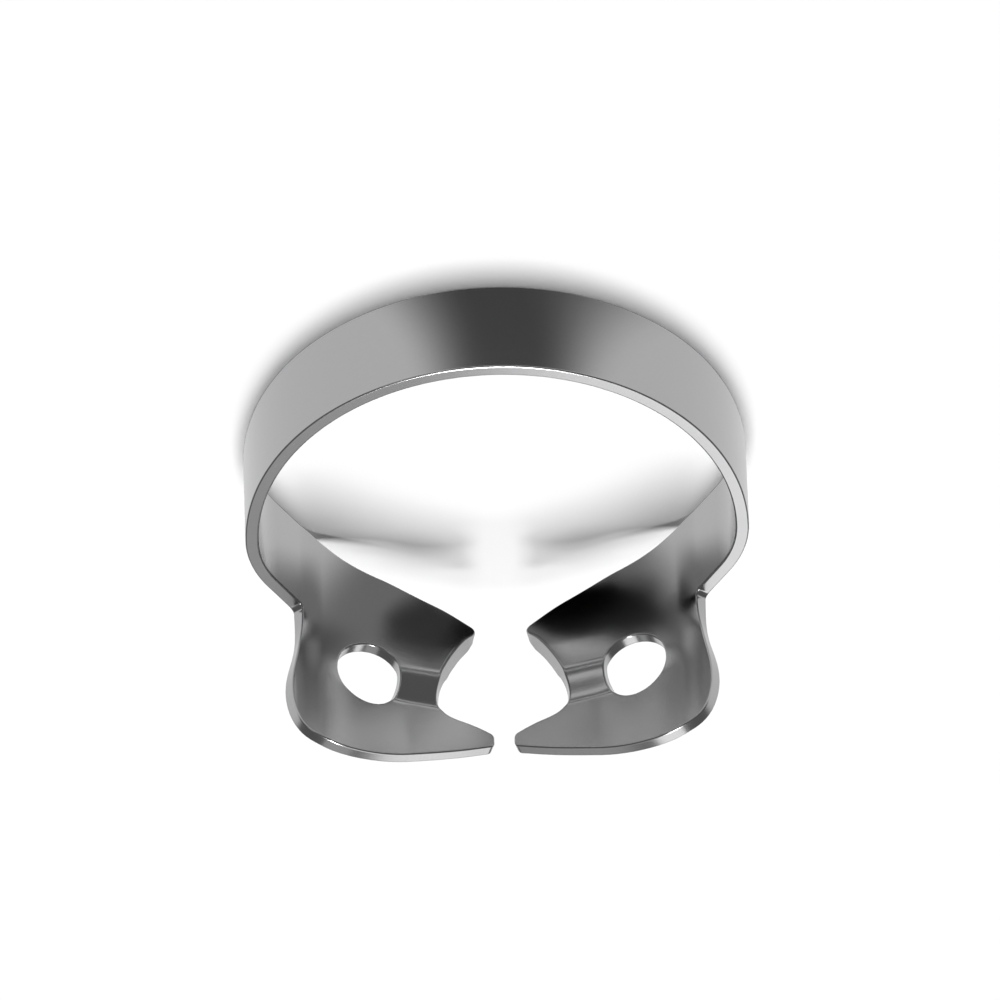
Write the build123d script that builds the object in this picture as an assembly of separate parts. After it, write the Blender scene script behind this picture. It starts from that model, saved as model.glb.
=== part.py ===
"""A rubber dam clamp of the wingless kind, folded from one piece of spring steel strip.

The clamp lies on the straight rear edge of its bow.  X runs across the clamp and X = 0 is its
plane of symmetry, Y runs from the top of the bow towards the jaws, and Z runs up from the rear
edge, along the width of the strip.  All lengths are in millimetres.
"""
import os
from math import cos, radians, sin, sqrt

from build123d import *

# the strip
sheet_thickness = 0.7
strip_width = 5.5
edge_break = 0.1

# the bow, as seen along Z
bow_half_width = 13.0
bow_rise = 12.44
leg_radius = 6.0
leg_lean = 33.0
leg_length = 2.0
neck_radius = 2.5
jaw_slope = 17.0

# one jaw, measured in its own plane: reach inward from the neck bend, depth along Z
jaw_reach = 9.3
jaw_depth = 14.1
forceps_hole_diameter = 3.4
forceps_hole_reach = 2.4
forceps_hole_height = 8.85
rear_prong_rounding = 0.45
front_prong_rounding = 0.35
notch_rounding = 0.3

# how the jaw is pressed out of its plane
step_drop = 0.9
step_height = 8.1
step_run = 1.9
step_fade_start = -1.2
step_fade_length = 6.0
rear_prong_drop = 0.9
rear_prong_height = 6.6
rear_prong_fade_start = 3.0
rear_prong_fade_length = 3.0
ear_flare = 0.75
ear_flare_length = 2.4
ear_flare_height = 2.5

# the outline of a jaw, as shares of jaw_reach and jaw_depth
rear_edge_shares = [(-0.16, 0.0), (0.08, 0.09), (0.38, 0.185), (0.68, 0.255), (0.905, 0.35)]
tooth_cut_shares = [(0.905, 0.35), (0.80, 0.447), (0.705, 0.57), (0.676, 0.655), (0.725, 0.72),
                    (0.85, 0.752), (1.0, 0.79)]
front_edge_shares = [(1.0, 0.845), (0.83, 0.887), (0.65, 0.925), (0.45, 0.962), (0.24, 0.994),
                     (0.05, 1.0), (-0.11, 0.955), (-0.195, 0.85), (-0.198, 0.71), (-0.15, 0.53)]

# spacing of the stations that carry the formed surface, how closely the surface follows them,
# and how far cuts run past the metal
station_spacing = 0.7
surface_tolerance = 0.005
overrun = 1.0

# the folded line of the sheet, seen along Z: lengths and turns in degrees, from the top of the bow
middle_radius = bow_half_width - sheet_thickness / 2
neck_turn = 90 - leg_lean - jaw_slope
folds = [
    (radians(90) * middle_radius, 90),
    (radians(leg_lean) * leg_radius, leg_lean),
    (leg_length, 0),
    (radians(neck_turn) * neck_radius, neck_turn),
    (jaw_reach + overrun, 0),
]
folded_length = sum(length for length, turn in folds)
jaw_start_length = folded_length - jaw_reach - overrun


def ease(share):
    """Smooth step from 0 to 1."""
    held = min(max(share, 0), 1)
    return held * held * (3 - 2 * held)


def folded_point(along):
    """Point and outward normal on the middle of the folded sheet, this far from the top of the bow."""
    x, y, heading = 0, sheet_thickness / 2 - bow_rise, 0
    left = along
    for length, turn in folds:
        curve = radians(turn) / length
        run = min(left, length) if along > 0 else along
        if curve:
            x += (sin(heading + curve * run) - sin(heading)) / curve
            y += (cos(heading) - cos(heading + curve * run)) / curve
        else:
            x += run * cos(heading)
            y += run * sin(heading)
        heading += curve * run
        left -= length
        if left <= 0:
            break
    return Vector(x, y, 0), Vector(sin(heading), -cos(heading), 0)


def forming(reach, height):
    """How far the sheet is pressed out of its folded line, away from the inside of the bow."""
    flare = ease(-reach / ear_flare_length) * ease((height - strip_width) / ear_flare_height)
    step = ease((reach - step_fade_start) / step_fade_length)
    step *= ease((height - step_height) / step_run)
    below = max(rear_prong_height - height, 0) / rear_prong_height
    prong = ease((reach - rear_prong_fade_start) / rear_prong_fade_length) * below * sqrt(below)
    return ear_flare * flare + step_drop * step + rear_prong_drop * prong


def sheet_point(along, height):
    """Point on the middle of the formed sheet."""
    point, normal = folded_point(along)
    return point + normal * forming(along - jaw_start_length, height) + Vector(0, 0, height)


def sheet_side(offset):
    """One side of the formed sheet as a smooth surface, this far out from its middle."""
    start, end, low, high = -overrun, folded_length, -overrun, jaw_depth + overrun
    along_count = round((end - start) / station_spacing)
    height_count = round((high - low) / station_spacing)
    feel = station_spacing / 100
    rows = []
    for i in range(along_count + 1):
        along = start + (end - start) * i / along_count
        row = []
        for j in range(height_count + 1):
            height = low + (high - low) * j / height_count
            run = sheet_point(along + feel, height) - sheet_point(along - feel, height)
            rise = sheet_point(along, height + feel) - sheet_point(along, height - feel)
            row.append(sheet_point(along, height) + run.cross(rise).normalized() * offset)
        rows.append(row)
    return Face.make_surface_from_array_of_points(rows, tol=surface_tolerance, min_deg=3, max_deg=3)


def formed_sheet():
    """The strip, folded and pressed, before it is cut to its outline."""
    inner = sheet_side(-sheet_thickness / 2)
    outer = sheet_side(sheet_thickness / 2)
    walls = []
    for edge in inner.edges():
        facing = outer.edges().sort_by_distance(edge.center())[0]
        walls.append(Face.make_surface_from_curves(edge, facing))
    return Solid(Shell([inner, outer, *walls]))


def jaw_point(shares):
    """A point of the outline in the plane of the jaw."""
    reach_share, depth_share = shares
    return Vector(reach_share * jaw_reach, depth_share * jaw_depth, 0)


def jaw_outline():
    """The flat outline of a jaw with the leg of the bow beside it, in the plane of the jaw."""
    rear = [jaw_point(shares) for shares in rear_edge_shares]
    cut = [jaw_point(shares) for shares in tooth_cut_shares]
    front = [jaw_point(shares) for shares in front_edge_shares] + [notch_corner()]
    leg_end = -bow_half_width
    edges = [
        Spline(*rear, tangents=[(1, 0), rear[-1] - rear[-2]]),
        Spline(*cut),
        Line(cut[-1], front[0]),
        Spline(*front, tangents=[front[1] - front[0], (0, -1)]),
        Line(front[-1], (leg_end, strip_width)),
        Line((leg_end, strip_width), (leg_end, 0)),
        Line((leg_end, 0), rear[0]),
    ]
    return make_face(edges)


def notch_corner():
    """Where the front edge of the strip meets the ear of the jaw, in the plane of the jaw."""
    return Vector(jaw_point(front_edge_shares[-1]).X, strip_width, 0)


def blank_tool(jaw_plane, reach):
    """The outline driven through the jaw along its normal, with its corners rounded."""
    tool = extrude(jaw_plane * jaw_outline(), reach, both=True)
    corners = [
        (jaw_point(rear_edge_shares[-1]), rear_prong_rounding),
        (jaw_point(tooth_cut_shares[-1]), front_prong_rounding),
        (jaw_point(front_edge_shares[0]), front_prong_rounding),
        (notch_corner(), notch_rounding),
    ]
    for corner, rounding in corners:
        place = jaw_plane.from_local_coords(corner)
        uprights = tool.edges().filter_by(Axis(jaw_plane.origin, jaw_plane.z_dir))
        tool = fillet(uprights.sort_by_distance(place)[0], rounding)
    return tool


def hole_plane(jaw_plane):
    """Plane across the forceps hole, square to the line from the rear of its rim to the front."""
    rim = forceps_hole_diameter / 2
    ends = []
    for height in (forceps_hole_height - rim, forceps_hole_height + rim):
        pressed = forming(forceps_hole_reach, height)
        ends.append(jaw_plane.from_local_coords(Vector(forceps_hole_reach, height, pressed)))
    rear, front = ends
    bore = jaw_plane.x_dir.cross(front - rear)
    return Plane(origin=(rear + front) / 2, x_dir=jaw_plane.x_dir, z_dir=bore)


def half_clamp():
    """The half on the +X side: cut from the formed sheet, its edges broken, then trimmed at X = 0."""
    start, normal = folded_point(jaw_start_length)
    inward = Vector(-normal.Y, normal.X, 0)
    jaw_plane = Plane(origin=start, x_dir=inward, z_dir=normal)
    reach = bow_half_width + bow_rise
    span = reach * 2
    widest = bow_half_width - bow_rise
    jaw_side = Box(span, reach, reach, align=(Align.CENTER, Align.MIN, Align.MIN))
    bow_side = Box(span, reach, strip_width, align=(Align.CENTER, Align.MAX, Align.MIN))
    kept = blank_tool(jaw_plane, reach) & (Pos(0, widest, -overrun) * jaw_side)
    kept += Pos(0, widest, 0) * bow_side
    hole_face = hole_plane(jaw_plane) * Circle(forceps_hole_diameter / 2)
    metal = (formed_sheet() & kept) - extrude(hole_face, forceps_hole_diameter, both=True)
    broken = chamfer(metal.edges(), edge_break)
    return broken & Box(reach, span, span, align=(Align.MIN, Align.CENTER, Align.CENTER))


def clamp():
    """Both halves, joined at the top of the bow and centred over the rear edge that they lie on."""
    half = half_clamp()
    whole = half + mirror(half, about=Plane.YZ)
    box = whole.bounding_box()
    return Pos(0, -box.center().Y, -box.min.Z) * whole


os.makedirs("parts", exist_ok=True)
export_step(clamp(), "parts/dam_clamp.step")
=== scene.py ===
"""A wingless rubber dam clamp of satin spring steel, lying on a pale floor in soft studio light.

The clamp is one folded and pressed sheet.  Its shape is worked out in millimetres on the flat
sheet, as a distance along the strip from the top of the bow and a height across the strip, and
is then folded, pressed and given rounded edges.
"""

from math import cos, pi, radians, sin, tan

import bpy
import numpy as np
from mathutils import Matrix, Vector
from mathutils.geometry import delaunay_2d_cdt

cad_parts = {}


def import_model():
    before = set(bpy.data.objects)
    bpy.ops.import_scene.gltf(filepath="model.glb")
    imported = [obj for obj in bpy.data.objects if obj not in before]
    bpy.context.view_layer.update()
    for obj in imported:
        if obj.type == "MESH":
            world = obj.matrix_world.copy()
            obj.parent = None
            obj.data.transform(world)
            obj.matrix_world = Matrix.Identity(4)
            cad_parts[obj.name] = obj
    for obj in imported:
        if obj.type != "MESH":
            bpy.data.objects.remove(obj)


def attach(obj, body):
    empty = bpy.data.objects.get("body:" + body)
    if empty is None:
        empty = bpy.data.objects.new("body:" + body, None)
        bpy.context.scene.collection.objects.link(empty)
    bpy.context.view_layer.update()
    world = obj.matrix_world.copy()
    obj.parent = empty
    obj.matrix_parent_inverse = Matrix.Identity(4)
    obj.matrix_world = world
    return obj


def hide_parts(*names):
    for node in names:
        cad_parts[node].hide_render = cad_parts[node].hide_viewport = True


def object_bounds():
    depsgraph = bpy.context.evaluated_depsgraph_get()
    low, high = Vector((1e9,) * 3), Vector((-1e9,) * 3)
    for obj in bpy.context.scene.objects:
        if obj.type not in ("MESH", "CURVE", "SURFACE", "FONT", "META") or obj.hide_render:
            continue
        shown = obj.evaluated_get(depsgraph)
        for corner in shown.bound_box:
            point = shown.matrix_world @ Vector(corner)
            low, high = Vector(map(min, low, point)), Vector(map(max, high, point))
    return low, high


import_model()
cad_low, cad_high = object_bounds()

MILLIMETRE = 0.001

# the strip
sheet_thickness = 0.7
strip_width = 5.5
edge_rounding = 0.1

# the bow, as seen along Z
bow_half_width = 13.0
bow_rise = 12.44
leg_radius = 6.0
leg_lean = 33.0
leg_length = 2.0
neck_radius = 2.5
jaw_slope = 17.0

# one jaw, in its own plane
jaw_reach = 9.3
jaw_depth = 14.1
forceps_hole_diameter = 3.4
forceps_hole_reach = 2.4
forceps_hole_height = 8.85
rear_prong_rounding = 0.45
front_prong_rounding = 0.35
notch_rounding = 0.3

# how the jaw is pressed out of its plane
step_drop = 0.9
step_height = 8.1
step_run = 1.9
step_fade_start = -1.2
step_fade_length = 6.0
rear_prong_drop = 0.9
rear_prong_height = 6.6
rear_prong_fade_start = 3.0
rear_prong_fade_length = 3.0
ear_flare = 0.75
ear_flare_length = 2.4
ear_flare_height = 2.5

# how much the wall of the tooth cut slants, from the outer side to the bow side, and how that fades
# towards both prongs
cut_bevel = 0.45
cut_bevel_rear_fade = 1.0
cut_bevel_front_fade = 3.2

# the outline of a jaw, as shares of jaw_reach and jaw_depth
rear_edge_shares = [(-0.16, 0.0), (0.08, 0.09), (0.38, 0.185), (0.68, 0.255), (0.905, 0.35)]
tooth_cut_shares = [(0.905, 0.35), (0.80, 0.447), (0.705, 0.57), (0.676, 0.655), (0.725, 0.72),
                    (0.85, 0.752), (1.0, 0.79)]
front_edge_shares = [(1.0, 0.845), (0.83, 0.887), (0.65, 0.925), (0.45, 0.962), (0.24, 0.994),
                     (0.05, 1.0), (-0.11, 0.955), (-0.195, 0.85), (-0.198, 0.71), (-0.15, 0.53)]

# how fine the mesh is, and the least gap between the points of a face and its border
face_spacing = 0.17
border_gap = 0.6 * face_spacing
edge_spacing = 0.09
edge_steps = 5
hole_points = 120

# the step over which the directions of the sheet are measured
feel = 0.01

# the length of flat sheet that fills the square of its texture layout
layout_span = 50

# the folded line of the sheet, seen along Z: lengths, and turns in degrees
middle_radius = bow_half_width - sheet_thickness / 2
neck_turn = 90 - leg_lean - jaw_slope
folds = [
    (radians(90) * middle_radius, 90),
    (radians(leg_lean) * leg_radius, leg_lean),
    (leg_length, 0),
    (radians(neck_turn) * neck_radius, neck_turn),
    (2 * jaw_reach, 0),
]
jaw_start = sum(length for length, turn in folds[:-1])

# the folded line's own Y is measured from the middle of the bow; the frame's is from the box
forward = cad_low.y / MILLIMETRE + bow_rise


def ease(share):
    """Smooth step from 0 to 1."""
    held = np.clip(share, 0, 1)
    return held * held * (3 - 2 * held)


def folded_line(along):
    """Places and outward normals on the middle of the folded sheet."""
    x = np.zeros(len(along))
    y = np.full(len(along), sheet_thickness / 2 - bow_rise + forward)
    heading = np.zeros(len(along))
    left = np.array(along, float)
    for length, turn in folds:
        run = np.clip(left, 0, length)
        if turn:
            curve = radians(turn) / length
            x += (np.sin(heading + curve * run) - np.sin(heading)) / curve
            y += (np.cos(heading) - np.cos(heading + curve * run)) / curve
            heading += curve * run
        else:
            x += run * np.cos(heading)
            y += run * np.sin(heading)
        left -= length
    level = np.zeros(len(along))
    return np.stack([x, y, level], 1), np.stack([np.sin(heading), -np.cos(heading), level], 1)


def forming(reach, height):
    """How far the sheet is pressed out of its folded line, away from the inside of the bow."""
    flare = ease(-reach / ear_flare_length) * ease((height - strip_width) / ear_flare_height)
    step = ease((reach - step_fade_start) / step_fade_length)
    step = step * ease((height - step_height) / step_run)
    below = np.maximum(rear_prong_height - height, 0) / rear_prong_height
    prong = ease((reach - rear_prong_fade_start) / rear_prong_fade_length) * below ** 1.5
    return ear_flare * flare + step_drop * step + rear_prong_drop * prong


def sheet_middle(flat):
    """Points on the middle of the formed sheet, for points of the flat sheet."""
    along, height = flat[:, 0], flat[:, 1]
    place, normal = folded_line(along)
    place = place + normal * forming(along - jaw_start, height)[:, None]
    place[:, 2] += height
    return place


def unit(vectors):
    """The vectors, each with length 1."""
    return vectors / np.linalg.norm(vectors, axis=1)[:, None]


def sheet_frame(flat):
    """Middle points, outward normals, and the directions along and across the strip."""
    ahead, up = np.array([feel, 0]), np.array([0, feel])
    run = sheet_middle(flat + ahead) - sheet_middle(flat - ahead)
    rise = sheet_middle(flat + up) - sheet_middle(flat - up)
    return sheet_middle(flat), unit(np.cross(run, rise)), unit(run), unit(rise)


def smooth_curve(points, spacing, start_slope=None, end_slope=None):
    """Points along the cubic spline through the given ones."""
    points = np.array(points, float)
    knots = np.r_[0, np.cumsum(np.linalg.norm(np.diff(points, axis=0), axis=1))]
    gaps = np.diff(knots)
    slopes = np.diff(points, axis=0) / gaps[:, None]
    count = len(points)
    system, wanted = np.eye(count), np.zeros((count, 2))
    for i in range(1, count - 1):
        system[i, i - 1:i + 2] = gaps[i - 1], 2 * (gaps[i - 1] + gaps[i]), gaps[i]
        wanted[i] = 6 * (slopes[i] - slopes[i - 1])
    if start_slope is not None:
        system[0, :2] = 2 * gaps[0], gaps[0]
        wanted[0] = 6 * (slopes[0] - start_slope)
    if end_slope is not None:
        system[-1, -2:] = gaps[-1], 2 * gaps[-1]
        wanted[-1] = 6 * (end_slope - slopes[-1])
    bends = np.linalg.solve(system, wanted)
    places = np.linspace(0, knots[-1], round(knots[-1] / spacing) + 1)
    span = np.clip(np.searchsorted(knots, places, side="right") - 1, 0, count - 2)
    gap = gaps[span]
    before, after = (places - knots[span]) / gap, (knots[span + 1] - places) / gap
    curve = points[span] * after[:, None] + points[span + 1] * before[:, None]
    curve += bends[span] * ((after ** 3 - after) * gap ** 2 / 6)[:, None]
    curve += bends[span + 1] * ((before ** 3 - before) * gap ** 2 / 6)[:, None]
    return curve


def straight(start, end, spacing):
    """Evenly spaced points from start to end."""
    start, end = np.array(start, float), np.array(end, float)
    count = max(round(np.linalg.norm(end - start) / spacing), 1)
    return start + (end - start) * np.linspace(0, 1, count + 1)[:, None]


def unfolded(outline):
    """Points of the jaw's plane moved to the flat sheet, where the neck bend is laid out."""
    low = np.full(len(outline), jaw_start - jaw_reach / 2)
    high = np.full(len(outline), jaw_start + 2 * jaw_reach)
    start, normal = folded_line(np.array([jaw_start]))
    inward = np.array([-normal[0, 1], normal[0, 0], 0])
    halvings = 40
    for halving in range(halvings):
        middle = (low + high) / 2
        reach = (sheet_middle(np.stack([middle, outline[:, 1]], 1)) - start) @ inward
        short = reach < outline[:, 0]
        low, high = np.where(short, middle, low), np.where(short, high, middle)
    return np.stack([(low + high) / 2, outline[:, 1]], 1)


def walked(points, distance):
    """The point this far along from the first one, the way on from there, and what is left."""
    lengths = np.r_[0, np.cumsum(np.linalg.norm(np.diff(points, axis=0), axis=1))]
    k = min(int(np.searchsorted(lengths, distance)), len(points) - 1)
    share = (distance - lengths[k - 1]) / (lengths[k] - lengths[k - 1])
    way = points[k] - points[k - 1]
    place, kept = points[k - 1] + way * share, points[k:]
    if np.linalg.norm(kept[0] - place) < edge_spacing / 3:
        kept = kept[1:]
    return place, way / np.linalg.norm(way), kept


def round_corner(before, after, rounding):
    """Joins two runs of points with a round corner of this radius."""
    backwards = before[::-1]
    arriving = (before[-1] - before[-3]) / np.linalg.norm(before[-1] - before[-3])
    leaving = (after[2] - after[0]) / np.linalg.norm(after[2] - after[0])
    turn = np.arccos(np.clip(arriving @ leaving, -1, 1))
    start, way_back, kept_before = walked(backwards, rounding * tan(turn / 2))
    end, way_on, kept_after = walked(after, rounding * tan(turn / 2))
    reach = np.linalg.solve(np.stack([-way_back, way_on], 1), end - start)
    corner = start - way_back * reach[0]
    weight = cos(turn / 2)
    least_steps = 6
    steps = max(round(rounding * turn / (edge_spacing / 2)), least_steps)
    share = np.linspace(0, 1, steps + 1)[1:-1, None]
    first, middle, last = (1 - share) ** 2, 2 * weight * share * (1 - share), share ** 2
    arc = (start * first + corner * middle + end * last) / (first + middle + last)
    return np.concatenate([kept_before[::-1], [start], arc, [end], kept_after])


def jaw_points(shares):
    """Points of the outline in the plane of the jaw."""
    return [np.array([reach * jaw_reach, depth * jaw_depth]) for reach, depth in shares]


def flat_outline():
    """The outline of half the sheet from the rear of the bow's top round the jaw to its front."""
    rear, cut, front = map(jaw_points, (rear_edge_shares, tooth_cut_shares, front_edge_shares))
    last_way = (rear[-1] - rear[-2]) / np.linalg.norm(rear[-1] - rear[-2])
    front.append(np.array([front[-1][0], strip_width]))
    first_way = (front[1] - front[0]) / np.linalg.norm(front[1] - front[0])
    jaw_rear = unfolded(smooth_curve(rear, edge_spacing, np.array([1.0, 0.0]), last_way))
    jaw_cut = unfolded(smooth_curve(cut, edge_spacing))
    jaw_tip = unfolded(straight(cut[-1], front[0], edge_spacing / 2))
    jaw_front = unfolded(smooth_curve(front, edge_spacing, first_way, np.array([0.0, -1.0])))
    bow_rear = straight([0, 0], jaw_rear[0], face_spacing)
    bow_front = straight(jaw_front[-1], [0, strip_width], face_spacing)
    runs = [
        (np.concatenate([bow_rear[:-1], jaw_rear]), rear_prong_rounding),
        (jaw_cut, front_prong_rounding),
        (jaw_tip, front_prong_rounding),
        (jaw_front, notch_rounding),
    ]
    outline, rounding = runs[0]
    for run, next_rounding in runs[1:]:
        outline = round_corner(outline, run, rounding)
        rounding = next_rounding
    return round_corner(outline, bow_front, rounding)


def outward_ways(points, closed):
    """The direction out of the metal at each point of an outline that keeps the metal on its left."""
    if closed:
        ways = np.roll(points, -1, axis=0) - np.roll(points, 1, axis=0)
    else:
        ways = np.gradient(points, axis=0)
        ways[0] = [1, 0]
        ways[-1] = [-1, 0]
    ways = unit(ways)
    return np.stack([ways[:, 1], -ways[:, 0]], 1)


def ground_back(outline):
    """How much the wall slants at each point of the outline: only along the tooth cut."""
    reach, height = outline[:, 0] - jaw_start, outline[:, 1]
    rear, front = tooth_cut_shares[0][1] * jaw_depth, tooth_cut_shares[-1][1] * jaw_depth
    fading = ease((height - rear) / cut_bevel_rear_fade) * ease((front - height) / cut_bevel_front_fade)
    return np.where(reach > jaw_reach / 2, cut_bevel * fading, 0)


def edge_profile():
    """Insets, offsets and tilts over the rounded edge, from the outer face to the inner face."""
    tilt = np.linspace(0, pi / 2, edge_steps + 1)
    inset = edge_rounding * (1 - np.sin(tilt))
    offset = sheet_thickness / 2 - edge_rounding * (1 - np.cos(tilt))
    return np.r_[inset, inset[::-1]], np.r_[offset, -offset[::-1]], np.r_[tilt, pi - tilt[::-1]]


def inside(points, polygon):
    """Which of the points lie in the polygon."""
    found = np.zeros(len(points), bool)
    for start, end in zip(polygon, np.roll(polygon, -1, axis=0)):
        crosses = (start[1] > points[:, 1]) != (end[1] > points[:, 1])
        if start[1] != end[1]:
            at = start[0] + (points[:, 1] - start[1]) / (end[1] - start[1]) * (end[0] - start[0])
            found ^= crosses & (points[:, 0] < at)
    return found


def face_net(border, hole):
    """Points of the flat face (border, hole, then the rest), its triangles, and the border's length."""
    seam_count = round(strip_width / face_spacing)
    seam = border[-1] + (border[0] - border[-1]) * (np.arange(1, seam_count) / seam_count)[:, None]
    ring = np.concatenate([border, seam])
    along, height = np.meshgrid(np.arange(face_spacing, jaw_start + jaw_reach, face_spacing),
                                np.arange(face_spacing / 2, jaw_depth, face_spacing))
    grid = np.stack([along.ravel(), height.ravel()], 1)
    grid = grid[inside(grid, ring)]
    centre = hole.mean(axis=0)
    radius = np.linalg.norm(hole[0] - centre)
    grid = grid[np.linalg.norm(grid - centre, axis=1) > radius + face_spacing / 2]
    rim = np.concatenate([ring, hole])
    batch = 200
    for start in range(0, len(rim), batch):
        gaps = np.linalg.norm(grid[:, None] - rim[None, start:start + batch], axis=2)
        grid = grid[gaps.min(axis=1) > border_gap]
    points = np.concatenate([ring, hole, grid])
    edges = [(i, (i + 1) % len(ring)) for i in range(len(ring))]
    edges += [(len(ring) + i, len(ring) + (i + 1) % len(hole)) for i in range(len(hole))]
    same_point = 1e-6
    made = delaunay_2d_cdt([Vector(point) for point in points], edges, [], 0, same_point)
    assert len(made[0]) == len(points)
    names = [min(origin) for origin in made[3]]
    triangles = np.array([[names[i] for i in face] for face in made[2]])
    middles = points[triangles].mean(axis=1)
    hole_share = 0.999
    past_hole = np.linalg.norm(middles - centre, axis=1) > radius * hole_share
    return points, triangles[inside(middles, ring) & past_hole], len(ring)


class MeshParts:
    """Vertices, normals, flat places and faces, collected piece by piece."""

    def __init__(self):
        self.places, self.normals, self.flats, self.faces = [], [], [], []
        self.count = 0

    def add(self, places, normals, flats):
        """Adds vertices and returns the number of the first."""
        first = self.count
        self.places.append(places)
        self.normals.append(normals)
        self.flats.append(flats)
        self.count += len(places)
        return first


def half_sheet():
    """The half on the +X side, with its faces and its rounded edges."""
    inset = edge_profile()[0]
    outline = flat_outline()
    ways = outward_ways(outline, False)
    turn = np.linspace(0, 2 * pi, hole_points, endpoint=False)
    hole_centre = np.array([jaw_start + forceps_hole_reach, forceps_hole_height])
    round_way = np.stack([np.cos(turn), -np.sin(turn)], 1)
    hole = hole_centre + round_way * forceps_hole_diameter / 2
    ground = ground_back(outline)
    outline = outline + ways * ground[:, None] / 2
    hole_border = hole + round_way * inset[0]
    parts = MeshParts()
    outer, outer_hole = face(parts, outline - ways * inset[0], hole_border, 1)
    inner, inner_hole = face(parts, outline - ways * (inset[0] + ground)[:, None], hole_border, -1)
    edge_rings(parts, outline, ways, ground, outer, inner, False)
    edge_rings(parts, hole, -round_way, np.zeros(hole_points), outer_hole, inner_hole, True)
    return parts


def face(parts, border, hole, side):
    """One face of the sheet; returns the numbers of the first vertices of its border and its hole."""
    points, triangles, ring_count = face_net(border, hole)
    middle, normal, run, rise = sheet_frame(points)
    first = parts.add(middle + normal * side * sheet_thickness / 2, normal * side, points)
    sides = middle[triangles]
    turned = np.cross(sides[:, 1] - sides[:, 0], sides[:, 2] - sides[:, 0])
    faces_out = (turned * normal[triangles[:, 0]]).sum(1) * side > 0
    triangles = np.where(faces_out[:, None], triangles, triangles[:, ::-1])
    parts.faces += (triangles + first).tolist()
    return first, first + ring_count


def edge_rings(parts, outline, ways, ground, outer_first, inner_first, closed):
    """The rounded edge along an outline, from the outer face's border to the inner face's."""
    inset, offset, tilt = edge_profile()
    slant = (ground / sheet_thickness)[:, None]
    count = len(outline)
    rows = [outer_first]
    for step in range(1, len(inset) - 1):
        flat = outline - ways * (inset[step] + slant * (sheet_thickness / 2 - offset[step]))
        middle, normal, run, rise = sheet_frame(flat)
        out = unit(run * ways[:, :1] + rise * ways[:, 1:])
        out = unit(out - normal * (out * normal).sum(1)[:, None])
        facing = unit(normal * (cos(tilt[step]) - slant * sin(tilt[step])) + out * sin(tilt[step]))
        rows.append(parts.add(middle + normal * offset[step], facing, flat))
    rows.append(inner_first)
    spans = count if closed else count - 1
    for row, next_row in zip(rows, rows[1:]):
        for i in range(spans):
            j = (i + 1) % count
            parts.faces.append([row + i, next_row + i, next_row + j, row + j])


def clamp_mesh():
    """Both halves as one mesh, with the surface's own normals and its flat layout as UV."""
    parts = half_sheet()
    places, normals = np.concatenate(parts.places), unit(np.concatenate(parts.normals))
    flats = np.concatenate(parts.flats)
    count = len(places)
    on_plane = 1e-6
    seam = np.abs(flats[:, 0]) < on_plane
    flip = np.array([-1.0, 1.0, 1.0])
    twins = np.where(seam, np.arange(count), count + np.cumsum(~seam) - 1)
    places[seam, 0] = 0
    normals[seam, 0] = 0
    places = np.concatenate([places, places[~seam] * flip]) * MILLIMETRE
    normals = np.concatenate([normals, normals[~seam] * flip])
    layout = np.concatenate([flats, flats[~seam] * [-1, 1]])
    faces = parts.faces + [[int(twins[i]) for i in reversed(loop)] for loop in parts.faces]
    mesh = bpy.data.meshes.new("dam_clamp_steel")
    mesh.from_pydata(places.tolist(), [], faces)
    mesh.shade_smooth()
    uv = mesh.uv_layers.new(name="strip")
    corners = np.zeros(len(mesh.loops), int)
    mesh.loops.foreach_get("vertex_index", corners)
    uv.data.foreach_set("uv", (layout[corners] / layout_span + 0.5).astype(np.float32).ravel())
    mesh.normals_split_custom_set_from_vertices(unit(normals).tolist())
    return mesh


def node(tree, kind, label, place, **values):
    """Adds a node, and gives its settings and inputs their values."""
    made = tree.nodes.new(kind)
    made.label = label
    made.location = place
    for name, value in values.items():
        if hasattr(made, name):
            setattr(made, name, value)
        else:
            made.inputs[name.replace("_", " ")].default_value = value
    return made


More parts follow.
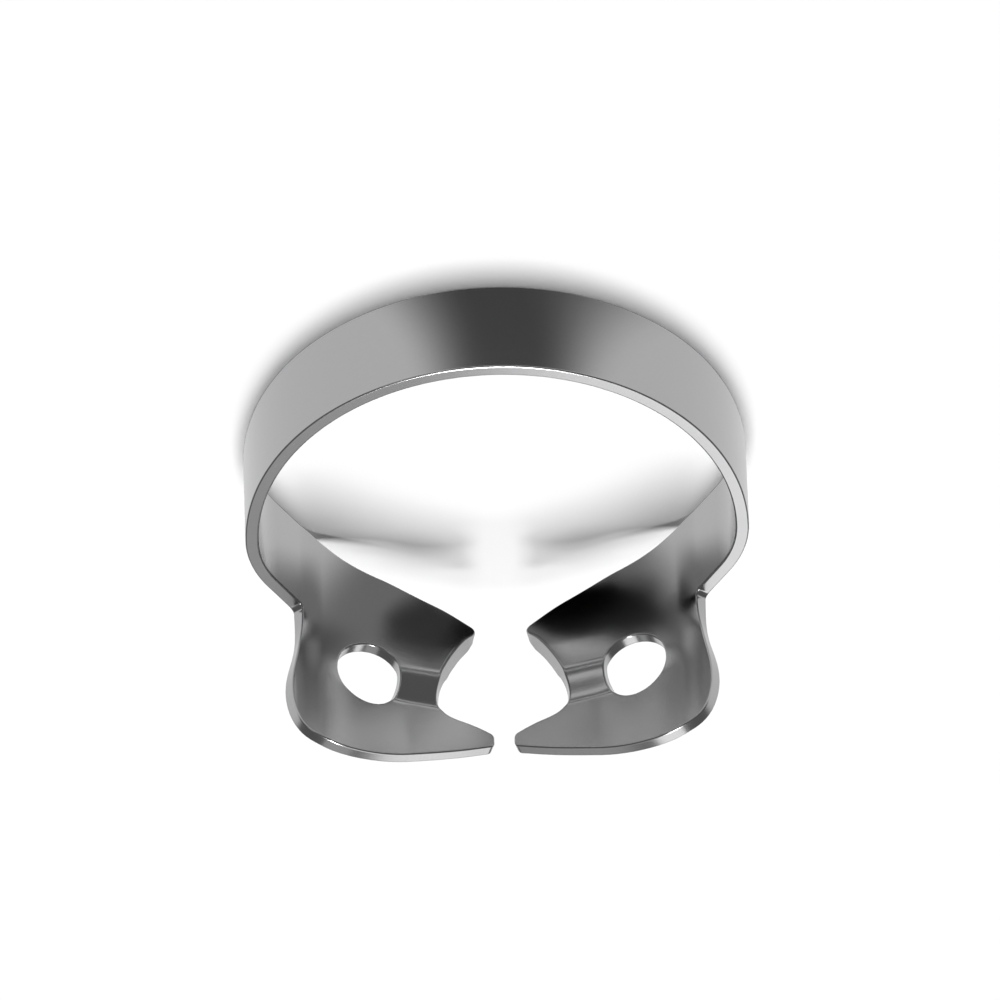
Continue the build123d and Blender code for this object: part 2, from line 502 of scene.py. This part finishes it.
def steel():
    """Satin polished spring steel: fine grain along the strip and a slightly uneven polish."""
    material = bpy.data.materials.new("satin_spring_steel")
    material.use_nodes = True
    tree = material.node_tree
    shader = tree.nodes["Principled BSDF"]
    shader.inputs["Metallic"].default_value = 1.0
    layout = node(tree, "ShaderNodeUVMap", "flat layout", (-1200, 0), uv_map="strip")
    stretch = node(tree, "ShaderNodeMapping", "grain along the strip", (-1000, 0), Scale=(60, 1500, 1))
    grain = node(tree, "ShaderNodeTexNoise", "grain", (-800, 0), Scale=1.0, Detail=4.0, Roughness=0.6)
    place = node(tree, "ShaderNodeTexCoord", "place", (-1200, -300))
    cloud = node(tree, "ShaderNodeTexNoise", "uneven polish", (-800, -300), Scale=220.0, Detail=3.0)
    polish = node(tree, "ShaderNodeMapRange", "roughness", (-400, -200), To_Min=0.18, To_Max=0.24)
    tone = node(tree, "ShaderNodeMix", "tone", (-400, 100), data_type="RGBA")
    darker, lighter, toned = tone.inputs[6], tone.inputs[7], tone.outputs[2]
    darker.default_value = (0.42, 0.42, 0.425, 1)
    lighter.default_value = (0.47, 0.47, 0.475, 1)
    bump = node(tree, "ShaderNodeBump", "grain relief", (-300, -400), Strength=0.04, Distance=0.00005)
    links = tree.links
    links.new(layout.outputs["UV"], stretch.inputs["Vector"])
    links.new(stretch.outputs["Vector"], grain.inputs["Vector"])
    links.new(place.outputs["Object"], cloud.inputs["Vector"])
    links.new(cloud.outputs["Fac"], polish.inputs["Value"])
    links.new(polish.outputs["Result"], shader.inputs["Roughness"])
    links.new(grain.outputs["Fac"], tone.inputs["Factor"])
    links.new(toned, shader.inputs["Base Color"])
    links.new(grain.outputs["Fac"], bump.inputs["Height"])
    links.new(bump.outputs["Normal"], shader.inputs["Normal"])
    return material


def clamp():
    """The clamp, which takes the place of its plain solid."""
    piece = bpy.data.objects.new("dam_clamp_steel", clamp_mesh())
    bpy.context.scene.collection.objects.link(piece)
    piece.data.materials.append(steel())
    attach(piece, "root")
    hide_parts("dam_clamp")


# the camera: lengths in millimetres, angles in degrees; the picture is centred on a point over
# the middle of the bow, moved right and up by the last two distances
camera_elevation = 41.5
camera_roll = 178.0
camera_distance = 1000.0
frame_width = 51.55
looked_at = (0.0, forward, 5.45)
centre_right = 0.155
centre_up = 1.392


def camera():
    """The camera at the photograph's angle: from the top of the bow, upside down."""
    data = bpy.data.cameras.new("camera")
    data.sensor_width = 36.0
    data.lens = data.sensor_width * camera_distance / frame_width
    data.clip_start, data.clip_end = 0.01, 10.0
    made = bpy.data.objects.new("camera", data)
    bpy.context.scene.collection.objects.link(made)
    rise = radians(camera_elevation)
    back = Vector((0, -cos(rise), sin(rise)))
    turned = back.to_track_quat("Z", "Y").to_matrix() @ Matrix.Rotation(radians(camera_roll), 3, "Z")
    centre = Vector(looked_at) + turned @ Vector((centre_right, centre_up, 0))
    made.matrix_world = turned.to_4x4()
    made.location = (centre + back * camera_distance) * MILLIMETRE
    bpy.context.scene.camera = made


# how many rings a soft card fades over, and the display's gamma, which makes it fade evenly to the eye
fade_rings = 9
display_gamma = 2.2


def aim_from(made, place, aim):
    """Puts an object at a place, in millimetres, and turns it to face another."""
    made.location = Vector(place) * MILLIMETRE
    made.rotation_mode = "QUATERNION"
    made.rotation_quaternion = (Vector(aim) - Vector(place)).to_track_quat("-Z", "Y")


def area_light(name, place, aim, size, power):
    """A soft rectangular lamp."""
    data = bpy.data.lights.new(name, "AREA")
    data.shape = "RECTANGLE"
    width, depth = size
    data.size, data.size_y = width * MILLIMETRE, depth * MILLIMETRE
    data.energy = power
    made = bpy.data.objects.new(name, data)
    bpy.context.scene.collection.objects.link(made)
    aim_from(made, place, aim)


def flat_object(name, places, faces):
    """An object made of flat faces, in millimetres, with its origin level with the floor."""
    mesh = bpy.data.meshes.new(name)
    mesh.from_pydata((np.array(places, float) * MILLIMETRE).tolist(), [], faces)
    made = bpy.data.objects.new(name, mesh)
    bpy.context.scene.collection.objects.link(made)
    made.location.z = cad_low.z
    return made


def rectangle(name, width, depth):
    """A level rectangle around the origin."""
    x, y = width / 2, depth / 2
    return flat_object(name, [(-x, -y, 0), (x, -y, 0), (x, y, 0), (-x, y, 0)], [(0, 1, 2, 3)])


def own_material(made):
    """Gives an object a material of its own, and returns its nodes."""
    material = bpy.data.materials.new(made.name)
    material.use_nodes = True
    made.data.materials.append(material)
    return material.node_tree


def floor():
    """A large pale floor that takes the shadow.  The steel mirrors the floor card in its place."""
    made = rectangle("floor", width=4000, depth=4000)
    shader = own_material(made).nodes["Principled BSDF"]
    shader.inputs["Base Color"].default_value = (0.86, 0.86, 0.86, 1)
    shader.inputs["Roughness"].default_value = 1.0
    shader.inputs["Specular IOR Level"].default_value = 0.0
    made.visible_glossy = False


def for_reflections(made):
    """Keeps a studio card out of the picture and the shadows, so that only the steel mirrors it."""
    made.visible_camera = False
    made.visible_diffuse = False
    made.visible_shadow = False
    made.visible_transmission = False


def soft_card(name, outer, core, height, cover, glow=0.0):
    """A level card, black or glowing, that fades in from its outer corners to its core.

    The corners are X and Y in millimetres, with Y measured from the middle of the bow.
    """
    outer, core = np.array(outer, float), np.array(core, float)
    count = len(outer)
    places, shades = [], []
    for share in np.linspace(0, 1, fade_rings):
        places.append(outer + (core - outer) * share)
        seen_through = 1 - ease(share) * (1 - (1 - cover) ** (1 / display_gamma))
        shades += [1 - seen_through ** display_gamma] * count
    flat = np.concatenate([*places, [core.mean(axis=0)]])
    faces = []
    last_ring = count * (fade_rings - 1)
    for first in range(0, last_ring, count):
        for i in range(count):
            j = (i + 1) % count
            faces.append((first + i, first + j, first + count + j, first + count + i))
    faces += [(last_ring + i, last_ring + (i + 1) % count, len(flat) - 1) for i in range(count)]
    made = flat_object(name, np.c_[flat + [0, forward], np.full(len(flat), height)], faces)
    shade = made.data.attributes.new("cover", "FLOAT", "POINT")
    shade.data.foreach_set("value", shades + [cover])
    tree = own_material(made)
    tree.nodes.remove(tree.nodes["Principled BSDF"])
    clear = node(tree, "ShaderNodeBsdfTransparent", "clear", (-300, 100))
    paint = node(tree, "ShaderNodeEmission", "paint", (-300, -100), Strength=glow)
    share = node(tree, "ShaderNodeAttribute", "cover", (-300, 300), attribute_name="cover")
    mix = node(tree, "ShaderNodeMixShader", "soft side", (0, 0))
    mixed_by, first, second = mix.inputs
    tree.links.new(share.outputs["Fac"], mixed_by)
    tree.links.new(clear.outputs["BSDF"], first)
    tree.links.new(paint.outputs["Emission"], second)
    tree.links.new(mix.outputs["Shader"], tree.nodes["Material Output"].inputs["Surface"])
    for_reflections(made)


def bright_card(name, place, aim, size, strength):
    """A glowing card in the air."""
    width, depth = size
    made = rectangle(name, width, depth)
    aim_from(made, place, aim)
    tree = own_material(made)
    tree.nodes.remove(tree.nodes["Principled BSDF"])
    glow = node(tree, "ShaderNodeEmission", "glow", (-300, 0), Strength=strength)
    tree.links.new(glow.outputs["Emission"], tree.nodes["Material Output"].inputs["Surface"])
    for_reflections(made)


def world():
    """An even, dim surround."""
    made = bpy.data.worlds.new("surround")
    made.use_nodes = True
    background = made.node_tree.nodes["Background"]
    background.inputs["Color"].default_value = (1, 1, 1, 1)
    background.inputs["Strength"].default_value = 0.15
    bpy.context.scene.world = made


def studio():
    """The lamp overhead, and the cards that give the steel its light and dark zones.

    The cards named far serve the jaw on the -X side, which is on the right in the picture.
    """
    area_light("key", place=(0, 300, 2000), aim=(0, 0, 0), size=(440, 960), power=44.0)
    bright_card("rim card", place=(16, 45, 50), aim=(0, 0, 8), size=(30, 60), strength=0.5)
    bright_card("far rim card", place=(-16, 45, 50), aim=(0, 0, 8), size=(30, 60), strength=1.5)
    bright_card("slope card", place=(28, -46, 30), aim=(-5, 8, 9), size=(26, 16), strength=0.9)

    # these lie on the floor
    soft_card("floor card",
              outer=[(-160, -160), (160, -160), (160, 160), (-160, 160)],
              core=[(-26, -26), (26, -26), (26, 26), (-26, 26)],
              height=0.01, cover=1.0, glow=0.87)
    soft_card("bow card",
              outer=[(6.2, -10.9), (6.8, -13.0), (7.8, -17.0), (9.4, -24.0), (-14.5, -24.0),
                     (-12.2, -17.0), (-10.8, -12.0), (-9.6, -8.2), (0.0, -12.1)],
              core=[(1.2, -12.0), (1.0, -13.0), (0.6, -17.0), (0.4, -23.0), (-4.8, -23.0),
                    (-4.0, -17.0), (-1.8, -12.6), (-1.5, -12.0), (0.0, -12.1)],
              height=0.03, cover=0.88)
    soft_card("hoop card",
              outer=[(8.6, 9.5), (8.6, 1.0), (6.0, -4.0), (2.0, -9.0), (-3.0, -8.0),
                     (-5.5, -3.0), (-8.6, 0.0), (-8.6, 9.5)],
              core=[(5.2, 7.5), (5.2, 0.5), (4.4, -2.5), (1.2, -6.0), (-1.5, -5.5),
                    (-2.0, -1.5), (-4.5, 1.5), (-6.0, 7.5)],
              height=0.03, cover=0.68)
    soft_card("far jaw card",
              outer=[(1.2, 7.0), (0.2, 3.8), (-1.0, 0.8), (-3.2, -1.2), (-6.0, 0.0),
                     (-6.6, 3.6), (-4.9, 5.0), (-3.1, 7.2), (-1.2, 8.6)],
              core=[(-0.3, 6.2), (-0.8, 5.0), (-1.4, 3.2), (-2.6, 1.1), (-4.2, 1.4),
                    (-4.3, 2.2), (-3.4, 3.0), (-2.1, 5.3), (-1.0, 6.6)],
              height=0.06, cover=0.95)

    # these are held level with the rear of the jaws
    soft_card("far prong card",
              outer=[(-0.2, 8.8), (-0.9, 5.9), (-1.9, 4.3), (-3.2, 3.0), (-4.8, 1.9),
                     (-6.6, 2.0), (-7.2, 5.0), (-5.0, 8.8)],
              core=[(-1.3, 8.0), (-1.6, 6.2), (-2.5, 4.8), (-3.7, 3.5), (-5.0, 2.6),
                    (-5.8, 2.9), (-5.9, 5.4), (-3.6, 8.2)],
              height=3.0, cover=0.985)
    soft_card("far outer card",
              outer=[(-9.0, 5.0), (-5.4, 3.4), (-4.6, 1.0), (-3.6, -0.8), (-2.0, -3.6),
                     (-3.0, -5.5), (-6.0, -3.2), (-8.5, 0.0)],
              core=[(-7.4, 3.6), (-6.2, 2.6), (-5.6, 0.6), (-4.6, -1.0), (-3.2, -3.2),
                    (-3.6, -3.8), (-5.4, -1.8), (-7.0, 0.8)],
              height=2.96, cover=0.72)
    soft_card("outer card",
              outer=[(11.0, 4.0), (4.6, 3.4), (4.9, 0.4), (3.4, -1.8), (1.8, -4.5),
                     (3.5, -6.5), (7.0, -4.0), (11.0, -2.5)],
              core=[(9.6, 2.2), (6.2, 2.2), (6.2, 0.0), (4.8, -1.9), (3.2, -4.0),
                    (3.8, -4.8), (6.6, -2.2), (9.6, -0.8)],
              height=2.96, cover=0.6)
    soft_card("prong card",
              outer=[(5.2, 8.8), (5.2, 5.0), (3.8, 2.4), (0.4, 2.4), (-1.0, 4.6), (-0.3, 8.8)],
              core=[(3.2, 7.6), (3.8, 5.6), (3.0, 3.8), (1.2, 3.4), (0.2, 5.0), (0.6, 7.4)],
              height=3.0, cover=0.78)
    soft_card("light band card",
              outer=[(0.3, 6.0), (-0.4, 3.2), (-3.2, 2.0), (-3.2, 3.3)],
              core=[(-0.4, 5.0), (-0.6, 4.0), (-2.6, 2.6), (-2.6, 3.2)],
              height=3.04, cover=0.95, glow=0.85)
    soft_card("far lip card",
              outer=[(4.4, 3.0), (0.0, 2.8), (-0.4, 0.4), (3.2, 0.6)],
              core=[(3.2, 2.5), (0.8, 2.3), (0.6, 1.4), (2.2, 1.4)],
              height=3.04, cover=0.9, glow=0.7)

    # this one lies on the floor too
    soft_card("lip card",
              outer=[(-2.2, 0.4), (-6.0, 0.8), (-7.5, -1.5), (-5.6, -4.4), (-2.6, -3.2)],
              core=[(-3.4, -0.9), (-5.0, -0.4), (-5.8, -1.8), (-4.8, -3.0), (-3.6, -2.4)],
              height=0.09, cover=0.9, glow=0.9)


clamp()
camera()
floor()
world()
studio()
bpy.context.scene.view_settings.view_transform = "Standard"
